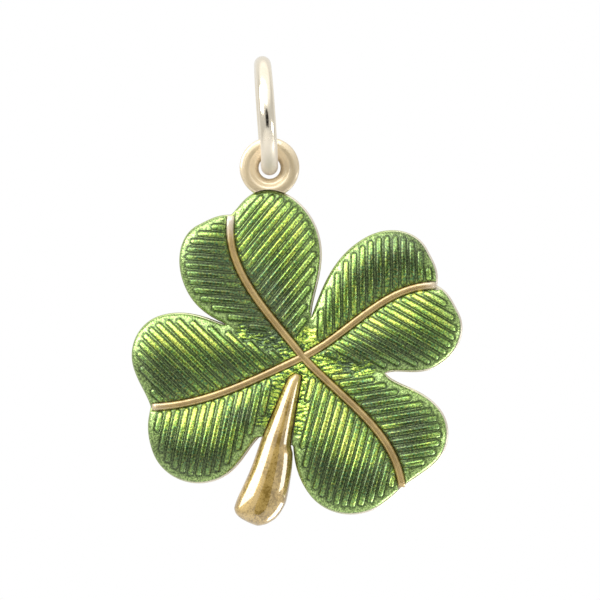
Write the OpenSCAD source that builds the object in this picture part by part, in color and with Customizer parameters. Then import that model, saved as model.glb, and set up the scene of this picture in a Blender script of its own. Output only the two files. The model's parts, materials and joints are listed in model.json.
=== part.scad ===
// Four leaf clover pendant: a gold casting with raised veins and a stem, enamelled
// leaves with finger-like ribs, and a jump ring through the bail eye. Millimetres.
// The clover faces -Y and hangs along -Z. The origin is where a chain bears, at the
// inside top of the jump ring.

/* [Leaves] */
// Distance from the middle of the clover to the notch of a leaf
leaf_reach = 7.6; // [6:0.1:10]
// Thickness of the casting at the edge of the leaves
plate_t = 0.75; // [0.5:0.05:1.2]
// Rise of a half leaf above its edge
dome_h = 0.45; // [0.2:0.05:0.8]
// Metal left bare round the enamel
rim_w = 0.07; // [0.04:0.01:0.2]
// Radius in the clefts between the leaves
cleft_r = 0.03; // [0.02:0.01:0.1]

/* [Enamel] */
// Thickness of the enamel between the ribs
enamel_t = 0.12; // [0.08:0.01:0.3]
// Clearance between the enamel and the metal
enamel_gap = 0.04; // [0.02:0.01:0.08]
// Spacing of the ribs
rib_pitch = 0.4; // [0.3:0.02:0.8]
// Height of the ribs
rib_h = 0.08; // [0.04:0.01:0.15]
// Smooth enamel between the vein and the ribs
rib_in = 0.16; // [0.05:0.01:0.5]
// Smooth border between the ribs and the edge
rib_out = 0.38; // [0.1:0.02:0.8]
// Radius of the middle that has no ribs
rib_free_r = 1.3; // [0.5:0.1:2.5]

/* [Veins] */
// Width of a vein
vein_w = 0.38; // [0.25:0.01:0.6]
// Height of a vein above the plate
vein_h = 0.3; // [0.2:0.01:0.5]

/* [Stem] */
// Length of the stem
stem_len = 7.5; // [5:0.1:11]
// Width of the stem at its foot
stem_w = 2.3; // [1.2:0.1:2.6]
// Thickness of the stem at its foot
stem_t = 1.5; // [1:0.05:2]
// Distance from the middle of the clover to the top of the stem
stem_top = 0.86; // [0.7:0.02:1.2]

/* [Bail eye] */
// Outer diameter of the eye
eye_d = 2.85; // [2.4:0.05:4]
// Diameter of the hole in the eye
eye_hole_d = 1.04; // [0.9:0.02:1.6]
// Thickness of the eye
eye_t = 1.1; // [0.9:0.05:1.5]
// Width of the bevel round the hole
eye_bevel = 0.32; // [0.1:0.02:0.5]
// How far the eye runs into the leaf
eye_sink = 0.38; // [0.2:0.02:0.5]

/* [Jump ring] */
// Outer diameter of the ring
ring_d = 5.7; // [5:0.1:9]
// Diameter of the ring's wire
wire_d = 0.8; // [0.5:0.05:0.8]
// Lean of the ring to the left
ring_lean = 4; // [-10:0.5:10]
// Turn of the ring about the vertical
ring_turn = 1.5; // [-8:0.5:8]
// Clearance between the wire and the top of the hole that it carries
hang_gap = 0.08; // [0.03:0.01:0.1]

/* [Hidden] */
$fn = 64;

// Columns of LEAVES: direction of the leaf, notch distance as a share of leaf_reach,
// and the vein's heading from that direction at the middle and at the notch
DIRECTION = 0;
NOTCH = 1;
VEIN_OUT = 2;
VEIN_END = 3;
LEAVES = [
    [28, 0.955, -2, -30],
    [116.7, 1, 11, -36],
    [198.2, 1.005, 6.5, -16.5],
    [307, 1.033, 5.5, -32],
];

// Columns of HALVES: widest and foremost point of a half leaf, along and across the
// leaf, as shares of leaf_reach, the outline's heading at the cleft and at the notch,
// and the heading of the ribs, all for the left half, or mirrored for the right one
WIDEST = 0;
FOREMOST = 1;
CLEFT_TURN = 2;
NOTCH_TURN = 3;
RIB_TURN = 4;
HALVES = [
    [[0.71, 0.478], [1.007, 0.233], 41, 51, 62],
    [[0.71, 0.45], [0.995, 0.213], 5, 56, 58],
    [[0.7, 0.465], [1.036, 0.218], 38, 62, 59],
    [[0.72, 0.444], [1.058, 0.19], 29, 70, 66],
    [[0.766, 0.567], [1.083, 0.262], 23, 57, 60],
    [[0.775, 0.527], [1.032, 0.26], 38, 89, 63],
    [[0.784, 0.492], [1.04, 0.22], 5, 89, 63],
    [[0.713, 0.487], [1.043, 0.141], 34, 82, 53],
];

// Columns of CLEFTS, each on the left of its leaf: direction, depth as a share of
// leaf_reach, and how many ribs start beside it. The stem lies along the third one,
// where its sides say how many.
DEPTH = 1;
BESIDE = 2;
CLEFTS = [
    [78.2, 0.26, 1],
    [157.2, 0.52, 4],
    [255.5, 0.556],
    [348.7, 0.53, 4],
];
STEM_CLEFT = 2;

// Columns of STEM: distance from its top as a share of stem_len, half width to the
// left and to the right of its axis as shares of stem_w, thickness as a share of stem_t
ALONG = 0;
LEFT = 1;
RIGHT = 2;
THICK = 3;
STEM = [
    [0, 0.04, 0.13, 0.5],
    [0.035, 0.145, 0.145, 0.62],
    [0.28, 0.28, 0.21, 0.8],
    [0.45, 0.36, 0.275, 0.89],
    [0.5, 0.375, 0.35, 0.92],
    [0.64, 0.415, 0.43, 0.97],
    [0.8, 0.5, 0.47, 1],
    [0.9, 0.54, 0.46, 0.97],
    [0.95, 0.53, 0.4, 0.88],
    [0.98, 0.44, 0.29, 0.7],
    [1, 0.24, 0.12, 0.35],
];
stem_heading = CLEFTS[STEM_CLEFT][DIRECTION];
stem_top_turn = 248;
stem_start = stem_top * [cos(stem_top_turn), sin(stem_top_turn)];
// Share of the stem's length where it leaves the leaves, and those where its sides turn before
stem_free_from = (leaf_reach * CLEFTS[STEM_CLEFT][DEPTH] - stem_top) / stem_len;
stem_bend_clear = 0.05;
stem_bends = [for (row = STEM) if (row[ALONG] < stem_free_from - stem_bend_clear) row[ALONG]];
// Clearance between the stem's side and the leaf's edge in the cleft
stem_side = 0.09;
// The stem is widest a little below the plate's face, and its back a little above the plate's
stem_mid = plate_t - 0.1;
stem_back = 0.04;
stem_sides = 20;

// Rows of a rib: groove, shoulder, crown, shoulder
rib_phases = [0, 0.2, 0.5, 0.8];
rib_rows = [0, 0.85, 1, 0.85];
// Columns of a row: 1 where a rib stands
rib_cols = [0, 0, 1, 1, 1, 1, 0, 0];
// A rib's slope at its ends, the shortest row that has a rib, and the most that the
// smooth borders take of a short row
rib_ramp = 0.1;
rib_least = 1.5 * (rib_in + rib_out);
most_in = 0.2;
most_out = 0.35;
// The stretch at the notch that has no ribs, and its rows
tip_bare = 0.6 * rib_pitch;
tip_spans = 2;
// The seat under the enamel: its columns, its step at the edge, and the dome over it
seat_cols = [0, 0.2, 0.5, 0.8, 1];
seat_lip = 0.03;
full_row = 0.5 * leaf_reach;
dome_growth = 0.7;
dome_section = 2.2;
// How far the seats and the veins reach down into the plate
sink = 0.15;
// Least distance between the points of a border
border_step = 0.05;

// Handles of the outline's curves, as shares of the lengths that they round
cleft_pull = 0.27;
side_pull = 0.42;
round_pull = 0.55;
notch_pull = 0.4;
side_steps = 9;
round_steps = 8;
notch_steps = 6;
cleft_facets = 16;

vein_pull = 0.35;
vein_steps = 14;
vein_reach = 0.985;
vein_shoulder = 0.2;
vein_facet = 30;
cross_vein_h = 0.9 * vein_h;
field_inset = vein_w / 2 + enamel_gap;

eye_turn = 100;
eye_seat_share = 1.069;
eye_set_in = 0.05;
eye_mid = eye_t / 2 + eye_set_in;
eye_land = eye_t / 3;
eye_edge = 0.15;
eye_lap = 0.05;
eye_lip = 0.02;
ring_inner_r = ring_d / 2 - wire_d;
ring_mean_r = (ring_d - wire_d) / 2;
ring_up = [-sin(ring_lean), 0, cos(ring_lean)];
ring_centre = -ring_inner_r * ring_up;
wire_seat = ring_centre - ring_mean_r * ring_up;
hole_drop = (eye_hole_d - wire_d) / 2 - hang_gap;
eye_centre = (leaf_reach * eye_seat_share + eye_d / 2 - eye_sink) * [cos(eye_turn), sin(eye_turn)];
clover_place = wire_seat - [eye_centre.x, 0, eye_centre.y + hole_drop];

gold = [0.86, 0.74, 0.5];
green = [0.36, 0.6, 0.16];

function turned(p, a) = [p.x * cos(a) - p.y * sin(a), p.x * sin(a) + p.y * cos(a)];
function heading(a) = [cos(a), sin(a)];
function reversed(list) = [for (i = [len(list) - 1:-1:0]) list[i]];
function bezier(p, t) = let (s = 1 - t)
    s * s * s * p[0] + 3 * s * s * t * p[1] + 3 * s * t * t * p[2] + t * t * t * p[3];
function curve(p, steps, first = 0, share = 1) = [for (i = [first:steps]) bezier(p, share * i / steps)];

// Direction of a path at one of its points
function run(path, i) =
    let (d = path[min(i + 1, len(path) - 1)] - path[max(i - 1, 0)]) d / norm(d);
// A path moved to its left
function shifted(path, d) = [for (i = [0:len(path) - 1]) path[i] + d * turned(run(path, i), 90)];
// The point at a share of a path's length
function travel(path) =
    [for (i = 0, d = 0; i < len(path); i = i + 1, d = d + (i < len(path) ? norm(path[i] - path[i - 1]) : 0))
        [d, path[i]]];
function along(path, share) = let (table = travel(path)) at(table, share * table[len(path) - 1][0]);
function at(table, key) =
    [lookup(key, [for (t = table) [t[0], t[1].x]]), lookup(key, [for (t = table) [t[0], t[1].y]])];

// A half is numbered 2 * leaf for the left and 2 * leaf + 1 for the right of a leaf
function leaf_of(h) = floor(h / 2);
function side_of(h) = 1 - 2 * (h % 2);
function cleft_of(h) = (leaf_of(h) + 3 * (h % 2)) % 4;
function halves(cleft) = [2 * cleft, 2 * ((cleft + 1) % 4) + 1];
// To and from the frame of a half, with the leaf along X and the half at positive Y
function placed(h, p) = turned([p.x, side_of(h) * p.y], LEAVES[leaf_of(h)][DIRECTION]);
function local(h, p) = let (q = turned(p, -LEAVES[leaf_of(h)][DIRECTION])) [q.x, side_of(h) * q.y];

// The vein, from the middle of the clover to the notch
function notch(h) = [leaf_reach * LEAVES[leaf_of(h)][NOTCH], 0];
function vein_turn(h, column) = side_of(h) * LEAVES[leaf_of(h)][column];
function vein(h, share = 1) = let (pull = vein_pull * notch(h).x)
    curve([[0, 0], pull * heading(vein_turn(h, VEIN_OUT)),
        notch(h) - pull * heading(vein_turn(h, VEIN_END)), notch(h)], vein_steps, 0, share);

// The stem's sides, in the clover's frame
function stem_width(side, share) =
    stem_w * lookup(share, [for (row = STEM) [row[ALONG], row[side > 0 ? RIGHT : LEFT]]]);
function stem_point(side, share, out) = stem_start + share * stem_len * heading(stem_heading)
    + side * (stem_width(side, share) + out) * heading(stem_heading + 90);

// The cleft at the root of a half leaf
function stem_cleft(h) = cleft_of(h) == STEM_CLEFT;
function cleft(h) = stem_cleft(h) ? local(h, stem_point(-side_of(h), stem_free_from, stem_side))
    : local(h, leaf_reach * CLEFTS[cleft_of(h)][DEPTH] * heading(CLEFTS[cleft_of(h)][DIRECTION]));

// The outline, from the cleft over the widest and the foremost point to the notch
function outline(h) =
    let (row = HALVES[h],
        c = cleft(h),
        w = leaf_reach * row[WIDEST],
        f = leaf_reach * row[FOREMOST],
        reach = norm(w - c),
        n = notch(h))
    concat(
        curve([c, c + cleft_pull * reach * heading(row[CLEFT_TURN]), w - [side_pull * reach, 0], w],
            side_steps),
        curve([w, [w.x + round_pull * (f.x - w.x), w.y], [f.x, f.y + round_pull * (w.y - f.y)], f],
            round_steps, 1),
        curve([f, [f.x, (1 - notch_pull) * f.y], n + notch_pull * f.y * heading(row[NOTCH_TURN]), n],
            notch_steps, 1));

// Where the enamel begins between two veins, and where it ends at the notch
function crotch(c) =
    let (a = LEAVES[c][DIRECTION] + LEAVES[c][VEIN_OUT],
        next = (c + 1) % 4,
        b = LEAVES[next][DIRECTION] + LEAVES[next][VEIN_OUT] + (next == 0 ? 360 : 0))
    field_inset / sin((b - a) / 2) * heading((a + b) / 2);
function tip(h) =
    let (out = HALVES[h][NOTCH_TURN],
        open = out - vein_turn(h, VEIN_END))
    notch(h) + (field_inset - rim_w * cos(open)) / sin(open) * heading(out) + rim_w * heading(out + 90);

// The inner border of a half's enamel along the cleft, or round the top of the stem
function stem_border(h) =
    let (side = -side_of(h),
        above = stem_start - enamel_gap * heading(stem_heading),
        across_top = (stem_width(side, 0) + enamel_gap) * heading(stem_heading + 90))
    [for (p = concat([above, above + side * across_top],
        [for (bend = stem_bends) if (bend > 0) stem_point(side, bend, enamel_gap)],
        [stem_point(side, stem_free_from - rim_w / stem_len, enamel_gap)])) local(h, p)];
function cleft_border(h) = concat([local(h, crotch(cleft_of(h)))],
    stem_cleft(h) ? stem_border(h) : [cleft(h) - rim_w * heading(atan2(cleft(h).y, cleft(h).x))]);
function beside(cleft) = cleft == STEM_CLEFT ? len(stem_border(2 * cleft)) : CLEFTS[cleft][BESIDE];
function cleft_end(h) = let (border = cleft_border(h)) border[len(border) - 1];
function cleft_at(h, share) =
    let (border = cleft_border(h),
        place = share * (len(border) - 1),
        i = min(floor(place), len(border) - 2))
    border[i] + (place - i) * (border[i + 1] - border[i]);

// The outer borders, as lists of [position across the ribs, point]
function across(h, p) = p.x * sin(HALVES[h][RIB_TURN]) - p.y * cos(HALVES[h][RIB_TURN]);
function keyed(h, path) = [for (p = path) [across(h, p), p]];
function vein_border(h) =
    let (start = local(h, crotch(cleft_of(h))),
        from = across(h, start) + 2 * border_step,
        beyond = norm(tip(h) - notch(h)) + 2 * border_step)
    concat([start],
        [for (p = shifted(vein(h), field_inset)) if (across(h, p) > from && norm(p - notch(h)) > beyond) p],
        [tip(h)]);
function edge_border(h) =
    let (start = cleft_end(h),
        from = across(h, start) + border_step,
        beyond = norm(tip(h) - notch(h)) + border_step)
    concat([start],
        [for (p = shifted(outline(h), -rim_w)) if (across(h, p) > from && norm(p - notch(h)) > beyond) p],
        [tip(h)]);

// The rows of a half's enamel: [point at the vein, point at the edge, phase of the rib]
function last_across(h) = across(h, tip(h)) - tip_bare;
function rib_count(h) = round((last_across(h) - across(h, cleft_end(h))) / rib_pitch);
function rows(h, phases) =
    let (vein_keys = keyed(h, vein_border(h)),
        edge_keys = keyed(h, edge_border(h)),
        start = vein_keys[0][0],
        turn_off = edge_keys[0][0],
        last = last_across(h),
        near = beside(cleft_of(h)),
        count = rib_count(h))
    concat(
        [for (g = [0:near - 1], p = phases) let (share = (g + p) / near)
            [at(vein_keys, start + share * (turn_off - start)), cleft_at(h, share), p]],
        [for (g = [0:count - 1], p = phases) let (key = turn_off + (g + p) / count * (last - turn_off))
            [at(vein_keys, key), at(edge_keys, key), p]],
        [for (g = [0:tip_spans - 1], p = phases) let (share = (g + p) / tip_spans)
            [along(past(vein_keys, last), share), along(past(edge_keys, last), share), 0]],
        [[tip(h), tip(h), 0]]);
function past(keys, key) = concat([at(keys, key)], [for (k = keys) if (k[0] > key) k[1]]);

// The surface of the metal under the enamel
function seat_z(length, share) = plate_t + seat_lip
    + dome_h * pow(min(1, length / full_row), dome_growth) * (1 - pow(abs(2 * share - 1), dome_section));
// Where a row's columns lie, so that a rib keeps its distance from both borders
function rib_shares(length) =
    let (start = min(rib_in / length, most_in),
        end = 1 - min(rib_out / length, most_out),
        ramp = min(rib_ramp / length, (end - start) / 4),
        third = (end - start - 2 * ramp) / 3)
    [0, start, start + ramp, start + ramp + third, end - ramp - third, end - ramp, end, 1];
function ribbed(row, length) =
    length > rib_least && norm(row[0]) > rib_free_r ? rib_rows[search(row[2], rib_phases)[0]] : 0;
function point(h, row, share, z) = let (p = placed(h, row[0] + share * (row[1] - row[0]))) [p.x, p.y, z];

// The enamel's face, its underside and the seat below it, row by row
function face_points(h) = [for (row = rows(h, rib_phases))
    let (length = max(norm(row[1] - row[0]), 0.001),
        shares = rib_shares(length),
        rib = rib_h * ribbed(row, length))
    for (c = [0:len(shares) - 1])
        point(h, row, shares[c], seat_z(length, shares[c]) + enamel_gap + enamel_t + rib * rib_cols[c])];
function seat_points(h, lift) = [for (row = rows(h, [0]), share = seat_cols)
    point(h, row, share, lift + seat_z(norm(row[1] - row[0]), share))];
function flat_points(h, z) = [for (row = rows(h, [0]), share = seat_cols) point(h, row, share, z)];

// One solid from the face and the underside of two neighbouring half leaves, which share
// the points on the cleft between them. per is how many rows of the face lie on one span
// of the underside.
module two_halves(cleft, faces, unders, per) {
    cols = [per > 1 ? len(rib_cols) : len(seat_cols), len(seat_cols)];
    sizes = [len(faces[0]), len(unders[0]), len(faces[1]), len(unders[1])];
    spans = [for (s = [0, 1]) len(unders[s]) / cols[1] - 1];
    shared = cleft == STEM_CLEFT ? 1 : beside(cleft);
    starts = [0, sizes[0], sizes[0] + sizes[1], sizes[0] + sizes[1] + sizes[2]];

    // Index of a point: half s, layer k (0 for the face, 1 for the underside), row, column
    function spot(s, k, r, c) =
        let (step = k == 0 ? per : 1,
            end = r == 0 || r == spans[s] * step,
            col = end ? 0 : c,
            owner = r == 0 || (col == cols[k] - 1 && r <= shared * step) ? 0 : s)
        starts[2 * owner + k] + r * cols[k] + col;
    function facing(list, flip) = flip ? [for (f = list) [f[0], f[2], f[1]]] : list;
    function sheet(s, k) = [for (r = [0:spans[s] * (k == 0 ? per : 1) - 1], c = [0:cols[k] - 2])
        each [[spot(s, k, r, c), spot(s, k, r, c + 1), spot(s, k, r + 1, c + 1)],
            [spot(s, k, r, c), spot(s, k, r + 1, c + 1), spot(s, k, r + 1, c)]]];
    function wall(s, outer, g) = let (c = [for (k = [0, 1]) outer ? cols[k] - 1 : 0])
        concat([[spot(s, 1, g, c[1]), spot(s, 0, per * (g + 1), c[0]), spot(s, 1, g + 1, c[1])]],
            [for (r = [per * g:per * (g + 1) - 1])
                [spot(s, 1, g, c[1]), spot(s, 0, r, c[0]), spot(s, 0, r + 1, c[0])]]);

    triangles = [for (s = [0, 1])
        each concat(
            facing(sheet(s, 0), s == 1),
            facing(sheet(s, 1), s == 0),
            [for (g = [0:spans[s] - 1]) each facing(wall(s, false, g), s == 1)],
            [for (g = [shared:spans[s] - 1]) each facing(wall(s, true, g), s == 0)])];
    polyhedron(
        points = concat(faces[0], unders[0], faces[1], unders[1]),
        faces = [for (f = triangles) if (f[0] != f[1] && f[1] != f[2] && f[2] != f[0]) f]);
}

module enamel_field(cleft) {
    color(green)
    in_place()
    two_halves(cleft, [for (h = halves(cleft)) face_points(h)],
        [for (h = halves(cleft)) seat_points(h, enamel_gap)], len(rib_phases));
}

module seat(cleft) {
    two_halves(cleft, [for (h = halves(cleft)) seat_points(h, 0)],
        [for (h = halves(cleft)) flat_points(h, plate_t - sink)], 1);
}

// The clover is drawn lying on its back, and stood up under the jump ring
module in_place() {
    translate(clover_place)
    rotate([90, 0, 0])
    translate([0, 0, -eye_mid])
    children();
}

// A solid from rings of points that go anticlockwise as seen along the path
module loft(rings) {
    n = len(rings[0]);
    last = (len(rings) - 1) * n;
    polyhedron(
        points = [for (ring = rings) each ring],
        faces = concat(
            [[for (i = [n - 1:-1:0]) i]],
            [for (k = [0:len(rings) - 2], i = [0:n - 1])
                each [[k * n + i, k * n + (i + 1) % n, (k + 1) * n + (i + 1) % n],
                    [k * n + i, (k + 1) * n + (i + 1) % n, (k + 1) * n + i]]],
            [[for (i = [0:n - 1]) last + i]]));
}

module leaf_plate() {
    offset(r = -cleft_r, $fn = cleft_facets)
    offset(r = cleft_r, $fn = cleft_facets)
    polygon([for (leaf = [0:3]) each concat(
        [for (p = outline(2 * leaf + 1)) placed(2 * leaf + 1, p)],
        [for (p = reversed(outline(2 * leaf))) placed(2 * leaf, p)])]);
}

// One raised line that runs through the middle from the notch of a leaf to the opposite one
module vein_ridge(leaf, height) {
    far = leaf + 2;
    path = concat(
        [for (p = reversed(vein(2 * leaf, vein_reach))) placed(2 * leaf, p)],
        [for (i = [1:vein_steps]) placed(2 * far, vein(2 * far, vein_reach)[i])]);
    crown = [for (a = [0:vein_facet:180])
        [vein_w / 2 * cos(a), plate_t + height * (vein_shoulder + (1 - vein_shoulder) * sin(a))]];
    section = concat([[vein_w / 2, plate_t - sink]], crown, [[-vein_w / 2, plate_t - sink]]);
    loft([for (i = [0:len(path) - 1]) let (side = turned(run(path, i), -90))
        [for (s = section) [path[i].x + s.x * side.x, path[i].y + s.x * side.y, s.y]]]);
}

module stem() {
    step = 360 / stem_sides;
    loft([for (row = STEM)
        [for (k = [0:stem_sides - 1])
            let (a = -(k + 0.5) * step,
                middle = stem_start + row[ALONG] * stem_len * heading(stem_heading),
                wide = stem_point(cos(a) > 0 ? 1 : -1, row[ALONG], 0),
                p = middle + abs(cos(a)) * (wide - middle),
                high = sin(a) > 0 ? stem_t - stem_mid : stem_mid - stem_back)
            [p.x, p.y, stem_mid + row[THICK] * high * sin(a)]]]);
}

// The eye is cut away where the leaf lies over it
module bail_eye() {
    hole_r = eye_hole_d / 2;
    outer_r = eye_d / 2;
    difference() {
        translate([eye_centre.x, eye_centre.y, eye_mid])
        rotate_extrude()
        polygon([
            [hole_r, -eye_land / 2], [hole_r + eye_bevel, -eye_t / 2],
            [outer_r - eye_edge, -eye_t / 2], [outer_r, eye_edge - eye_t / 2],
            [outer_r, eye_t / 2 - eye_edge], [outer_r - eye_edge, eye_t / 2],
            [hole_r + eye_bevel, eye_t / 2], [hole_r, eye_land / 2]]);
        translate([0, 0, plate_t - eye_lap])
        linear_extrude(eye_t)
        offset(delta = -eye_lip)
        leaf_plate();
    }
}

module clover_casting() {
    color(gold)
    in_place() {
        linear_extrude(plate_t) leaf_plate();
        for (cleft = [0:3]) seat(cleft);
        vein_ridge(0, cross_vein_h);
        vein_ridge(1, vein_h);
        stem();
        bail_eye();
    }
}

module jump_ring() {
    color(gold)
    translate(ring_centre)
    rotate([0, -ring_lean, 0])
    rotate([0, 0, ring_turn])
    rotate([0, 90, 0])
    rotate_extrude()
    translate([ring_mean_r, 0])
    circle(d = wire_d);
}

module enamel_top() { enamel_field(0); }
module enamel_left() { enamel_field(1); }
module enamel_bottom() { enamel_field(2); }
module enamel_right() { enamel_field(3); }

jump_ring();
clover_casting();
enamel_top();
enamel_left();
enamel_bottom();
enamel_right();
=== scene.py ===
import json
import math
import bpy
import bmesh
import numpy as np
from mathutils import Matrix, Vector
from mathutils.geometry import delaunay_2d_cdt


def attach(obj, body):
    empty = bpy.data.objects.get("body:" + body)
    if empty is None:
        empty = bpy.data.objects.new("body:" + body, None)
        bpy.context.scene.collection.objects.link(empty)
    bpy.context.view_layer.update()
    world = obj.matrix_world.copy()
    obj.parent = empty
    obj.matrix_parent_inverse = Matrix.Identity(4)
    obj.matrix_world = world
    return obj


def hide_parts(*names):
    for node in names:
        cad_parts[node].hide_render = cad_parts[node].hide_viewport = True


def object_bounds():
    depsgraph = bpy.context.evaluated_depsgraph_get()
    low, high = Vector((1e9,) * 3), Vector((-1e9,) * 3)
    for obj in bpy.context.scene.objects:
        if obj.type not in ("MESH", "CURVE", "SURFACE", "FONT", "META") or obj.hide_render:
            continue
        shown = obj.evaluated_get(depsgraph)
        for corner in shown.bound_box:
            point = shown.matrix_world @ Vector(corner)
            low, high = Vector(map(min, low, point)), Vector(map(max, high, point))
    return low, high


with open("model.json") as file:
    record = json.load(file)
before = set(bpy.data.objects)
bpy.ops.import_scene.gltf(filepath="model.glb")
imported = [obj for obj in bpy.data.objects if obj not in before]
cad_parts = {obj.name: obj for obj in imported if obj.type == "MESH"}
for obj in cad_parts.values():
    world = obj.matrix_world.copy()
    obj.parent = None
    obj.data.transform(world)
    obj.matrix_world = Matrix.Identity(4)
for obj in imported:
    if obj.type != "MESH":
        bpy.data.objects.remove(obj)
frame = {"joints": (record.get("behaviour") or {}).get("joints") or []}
cadLow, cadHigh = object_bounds()
swingJoint = frame["joints"][0]
mm = 0.001
tiny = 1e-9  # keeps a division by nothing from failing
weldDistance = 1e-7
print("stage: frame loaded")

# The clover, in millimetres about the point where its veins cross
clover = {
    "reach": 7.6,  # middle to notch
    "plate": 0.75,  # thickness of the casting at its edge
    "lip": 0.03,  # step of the seat under the enamel
    "sink": 0.15,  # how far the veins reach into the plate
    "domeRise": 0.45,
    "fullWidth": 3.8,  # a half leaf this wide has the whole rise
    "domeGrowth": 0.7,
    "domeSection": 2.2,
    "valley": (0.7, 0.35),  # width over which a dome runs out into a valley, and its share left there
    "rim": 0.07,  # bare metal round the enamel
    "rimLean": (0.45, -15),  # share by which it is wider on one side, and that side's direction
    "gap": 0.04,  # under the enamel
    "fieldGap": 0.012,  # round the enamel
    "borderGap": 0.05,  # least distance of an enamel border's points from its ends
    "outerGap": 0.03,
    "cleftGap": 2.2,  # in rims
    "veinWidth": 0.38,
    "veinSteps": 60,
    "veinPull": 0.35,  # length of a vein's handles, as a share of its span
    "outlineSteps": 40,
    # handles of a half's outline, from the cleft over the widest and the foremost point to the notch
    "handles": (0.27, 0.42, 0.55, 0.55, 0.6, 0.4),
    # direction of the leaf, notch as a share of the reach, vein's heading at both ends
    "leaves": [
        (28, 0.955, -2, -30),
        (116.7, 1, 11, -36),
        (198.2, 1.005, 6.5, -16.5),
        (307, 1.033, 5.5, -32),
    ],
    # widest and foremost point as shares of the reach, heading at cleft and at notch, heading of the ribs
    "halves": [
        ((0.71, 0.478), (1.007, 0.233), 41, 51, 62),
        ((0.71, 0.45), (0.995, 0.213), 5, 56, 58),
        ((0.7, 0.465), (1.036, 0.218), 38, 62, 59),
        ((0.72, 0.444), (1.058, 0.19), 29, 70, 66),
        ((0.766, 0.567), (1.083, 0.262), 23, 57, 60),
        ((0.775, 0.527), (1.032, 0.26), 38, 89, 63),
        ((0.784, 0.492), (1.04, 0.22), 5, 89, 63),
        ((0.713, 0.487), (1.043, 0.141), 34, 82, 53),
    ],
    # direction and depth, as a share of the reach, of the cleft on the left of each leaf
    "clefts": [(78.2, 0.26), (157.2, 0.52), (255.5, 0.556), (348.7, 0.53)],
    "stemCleft": 2,
}
stem = {
    "top": 0.86,  # from the middle of the clover
    "topTurn": 248,
    "heading": 255.5,
    "length": 7.5,
    "width": 2.3,
    "thickness": 1.5,
    "side": 0.09,  # gap between stem and leaf in the cleft
    "widest": 0.1,  # its widest line lies this far under the plate's face
    "back": 0.04,  # and its back this far over the plate's
    "borderAt": (0.035, 0.1, 0.2, 0.28, 0.36),  # shares of its length where the enamel's border bends
    "rings": 130,
    "facets": 64,
    # share of the length, left and right half width as shares of the width, thickness share
    "sections": [
        (0, 0.04, 0.13, 0.5),
        (0.035, 0.145, 0.145, 0.62),
        (0.28, 0.28, 0.21, 0.8),
        (0.45, 0.36, 0.275, 0.89),
        (0.5, 0.375, 0.35, 0.92),
        (0.64, 0.415, 0.43, 0.97),
        (0.8, 0.5, 0.465, 1),
        (0.86, 0.535, 0.43, 0.98),
        (0.92, 0.55, 0.35, 0.92),
        (0.95, 0.51, 0.27, 0.85),
        (0.975, 0.4, 0.18, 0.7),
        (0.99, 0.24, 0.09, 0.48),
        (0.997, 0.1, 0.04, 0.25),
        (1, 0.01, 0.01, 0.05),
    ],
}
eye = {
    "diameter": 2.85,
    "hole": 1.04,
    "thickness": 1.1,
    "setIn": 0.05,  # its back lies this far over the plate's
    "turn": 100,  # its direction from the middle of the clover
    "seatShare": 1.069,  # the leaf's edge there, as a share of the reach
    "sink": 0.38,  # how far it runs into the leaf
    "bevel": 0.32,  # width of the bevel round the hole
    "chamfer": 0.1,  # round the bevel
    "round": 0.16,
    "crown": 0.02,
    "facets": 96,
    "steps": (9, 8, 8),  # over the bevel, the face and the outer edge
    "lip": 0.02,  # how far it comes over the leaf's edge
    "lap": 0.05,  # and down into the plate's face
    "cutHeight": 2,
    "hangGap": 0.08,
}
ring = {
    "diameter": 5.7,
    "wire": 0.8,
    "lean": 4,
    "turn": 1.5,
    "wornBetween": (-2.2, -0.9),  # heights over its middle between which it is worn matt
    "facets": (320, 64),  # round the ring and round the wire
}


# Plane geometry
def heading(angle):
    a = math.radians(angle)
    return np.array((math.cos(a), math.sin(a)))


def turned(p, angle):
    a = math.radians(angle)
    p = np.asarray(p, float)
    c, s = math.cos(a), math.sin(a)
    return np.stack((p[..., 0] * c - p[..., 1] * s, p[..., 0] * s + p[..., 1] * c), -1)


def bezier(p, steps, first=0, share=1.0):
    t = (np.arange(first, steps + 1) / steps * share)[:, None]
    s = 1 - t
    p = [np.asarray(q, float) for q in p]
    return s**3 * p[0] + 3 * s * s * t * p[1] + 3 * s * t * t * p[2] + t**3 * p[3]


def pathNormals(path, closed=False):
    if closed:
        d = np.roll(path, -1, 0) - np.roll(path, 1, 0)
    else:
        d = np.gradient(path, axis=0)
    d = d / np.maximum(np.linalg.norm(d, axis=1), tiny)[:, None]
    return np.stack((-d[:, 1], d[:, 0]), 1)


def distanceTo(points, path):
    best = np.full(len(points), np.inf)
    for p, q in zip(path[:-1], path[1:]):
        d = q - p
        t = np.clip(((points - p) @ d) / max(d @ d, tiny), 0, 1)
        best = np.minimum(best, np.linalg.norm(points - p - t[:, None] * d, axis=1))
    return best


def resampled(path, step):
    seg = np.linalg.norm(np.diff(path, axis=0), axis=1)
    s = np.concatenate(([0], np.cumsum(seg)))
    n = max(2, int(round(s[-1] / step)) + 1)
    t = np.linspace(0, s[-1], n)
    return np.stack((np.interp(t, s, path[:, 0]), np.interp(t, s, path[:, 1])), 1)


def insidePolygon(points, poly):
    x, y = points[:, 0], points[:, 1]
    inside = np.zeros(len(points), bool)
    for (x0, y0), (x1, y1) in zip(poly, np.roll(poly, -1, 0)):
        hit = (y0 > y) != (y1 > y)
        if hit.any():
            at = (x1 - x0) * (y - y0) / (y1 - y0) + x0
            inside ^= hit & (x < at)
    return inside


# The clover's lines. Half 2 * leaf is the left of a leaf, 2 * leaf + 1 its right
def leafOf(h):
    return clover["leaves"][h // 2]


def sideOf(h):
    return 1 - 2 * (h % 2)


def cleftOf(h):
    return (h // 2 + 3 * (h % 2)) % 4


def placed(h, p):
    p = np.asarray(p, float)
    return turned(np.stack((p[..., 0], sideOf(h) * p[..., 1]), -1), leafOf(h)[0])


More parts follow.
